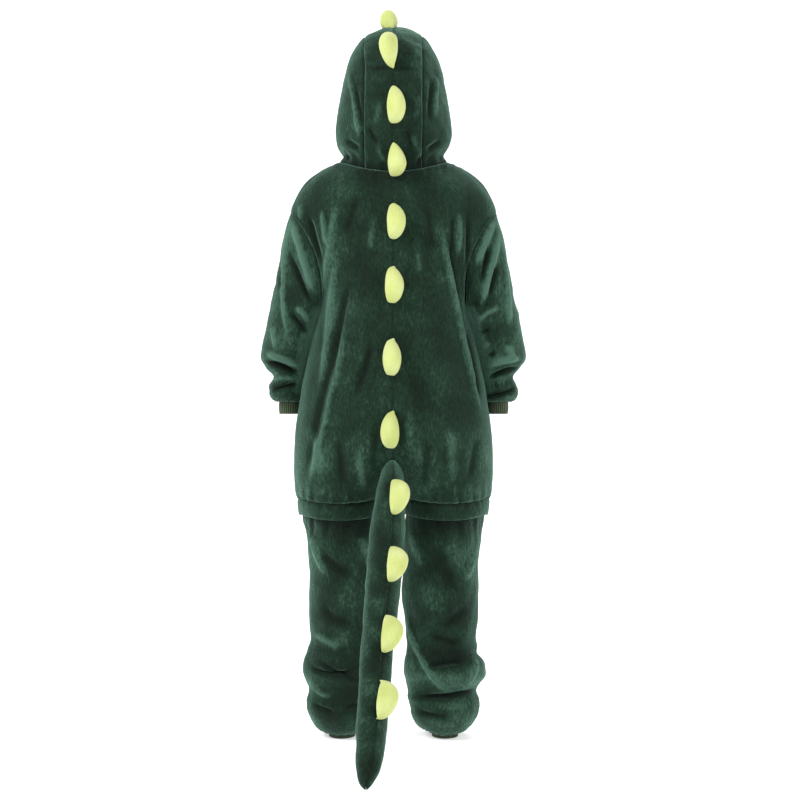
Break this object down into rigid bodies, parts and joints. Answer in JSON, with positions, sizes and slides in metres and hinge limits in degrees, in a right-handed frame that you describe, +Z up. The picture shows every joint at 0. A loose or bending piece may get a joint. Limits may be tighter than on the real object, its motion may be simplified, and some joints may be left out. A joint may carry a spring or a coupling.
{
  "type": "dinosaur onesie",
  "caption": "Child's hooded plush onesie in its hollow worn form, with stuffed spikes down the spine, a long stuffed tail, and a buttoned front.",
  "frame": {"origin": "between the wearer's shoulders, inside the garment, 1.000 m above the ankle hems", "axes": "+Z up along the wearer's body, -Y out of the garment's back (spikes and tail), +X to the wearer's right"},
  "size_m": [0.479, 0.5556, 1.3028],
  "materials": {
    "plush": "short-nap flannel plush, dark green with a pale sheen along its folds",
    "rib": "ribbed knit, olive green",
    "spike": "short-nap plush, lime yellow, stuffed",
    "button": "satin, dyed to the cloth"
  },
  "bodies": {
    "root": {"back_left": "plush", "back_right": "plush", "front_left": "plush", "front_right": "plush", "sleeve_left": "plush", "sleeve_right": "plush", "leg_left": "plush", "leg_right": "plush", "band_left": "plush", "band_right": "plush", "hood_centre_left": "plush", "hood_centre_right": "plush", "hood_side_left": "plush", "hood_side_right": "plush", "tail_left": "plush", "tail_right": "plush", "placket": "plush", "wrist_cuff_left": "rib", "wrist_cuff_right": "rib", "ankle_cuff_left": "rib", "ankle_cuff_right": "rib", "spike_1": "spike", "spike_2": "spike", "spike_3": "spike", "spike_4": "spike", "spike_5": "spike", "spike_6": "spike", "spike_7": "spike", "spike_8": "spike", "spike_9": "spike", "spike_10": "spike", "spike_11": "spike", "spike_12": "spike", "button_1": "button", "button_2": "button", "button_3": "button", "button_4": "button", "button_5": "button"}
  },
  "joints": []
}
